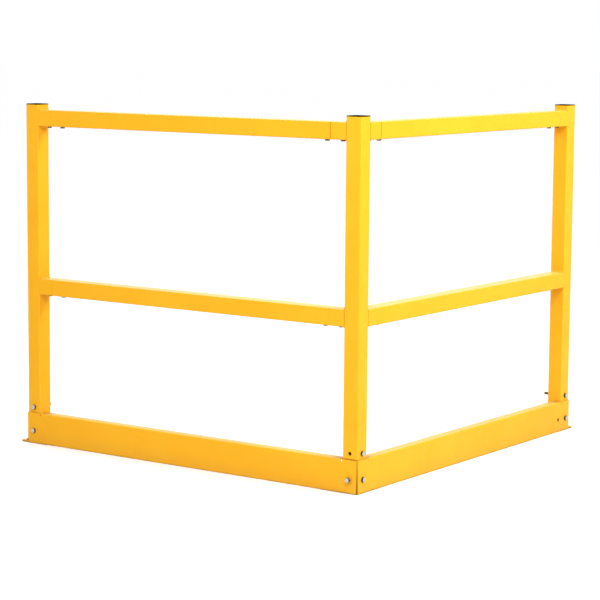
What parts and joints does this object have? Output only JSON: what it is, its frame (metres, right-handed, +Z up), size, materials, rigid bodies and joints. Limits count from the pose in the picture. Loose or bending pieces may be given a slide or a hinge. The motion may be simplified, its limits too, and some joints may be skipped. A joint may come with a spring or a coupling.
{
  "type": "corner guardrail",
  "caption": "L-shaped corner guardrail of square tube: posts on base plates, top and mid rails bolted to post stubs, folded kickplates bolted outside the posts.",
  "frame": {"origin": "on the corner post's axis, on the floor under its base plate", "axes": "+Z up; +X from the corner post to the right post and +Y from the corner post to the left post, as seen from outside the corner, where the kickplates are; the outside faces are -X and -Y"},
  "size_m": [1.3136, 1.3076, 1.0858],
  "materials": {
    "yellow_powder_coat": "gloss",
    "zinc_hardware": "satin",
    "sleeve_steel": "satin",
    "cap_plastic": "satin"
  },
  "bodies": {
    "root": {"corner_base_plate": "yellow_powder_coat", "corner_left_mid_sleeve": "sleeve_steel", "corner_left_mid_stub": "yellow_powder_coat", "corner_left_top_sleeve": "sleeve_steel", "corner_left_top_stub": "yellow_powder_coat", "corner_post": "yellow_powder_coat", "corner_post_bolt": "zinc_hardware", "corner_post_cap": "cap_plastic", "corner_post_nut": "zinc_hardware", "corner_right_mid_sleeve": "sleeve_steel", "corner_right_mid_stub": "yellow_powder_coat", "corner_right_top_sleeve": "sleeve_steel", "corner_right_top_stub": "yellow_powder_coat", "left_base_plate": "yellow_powder_coat", "left_kickplate": "yellow_powder_coat", "left_kickplate_bolts": "zinc_hardware", "left_kickplate_nuts": "zinc_hardware", "left_mid_rail": "yellow_powder_coat", "left_mid_rail_bolts": "zinc_hardware", "left_mid_rail_nuts": "zinc_hardware", "left_post": "yellow_powder_coat", "left_post_bolt": "zinc_hardware", "left_post_cap": "cap_plastic", "left_post_mid_sleeve": "sleeve_steel", "left_post_mid_stub": "yellow_powder_coat", "left_post_nut": "zinc_hardware", "left_post_top_sleeve": "sleeve_steel", "left_post_top_stub": "yellow_powder_coat", "left_top_rail": "yellow_powder_coat", "left_top_rail_bolts": "zinc_hardware", "left_top_rail_nuts": "zinc_hardware", "right_base_plate": "yellow_powder_coat", "right_kickplate": "yellow_powder_coat", "right_kickplate_bolts": "zinc_hardware", "right_kickplate_nuts": "zinc_hardware", "right_mid_rail": "yellow_powder_coat", "right_mid_rail_bolts": "zinc_hardware", "right_mid_rail_nuts": "zinc_hardware", "right_post": "yellow_powder_coat", "right_post_bolt": "zinc_hardware", "right_post_cap": "cap_plastic", "right_post_mid_sleeve": "sleeve_steel", "right_post_mid_stub": "yellow_powder_coat", "right_post_nut": "zinc_hardware", "right_post_top_sleeve": "sleeve_steel", "right_post_top_stub": "yellow_powder_coat", "right_top_rail": "yellow_powder_coat", "right_top_rail_bolts": "zinc_hardware", "right_top_rail_nuts": "zinc_hardware"}
  },
  "joints": []
}
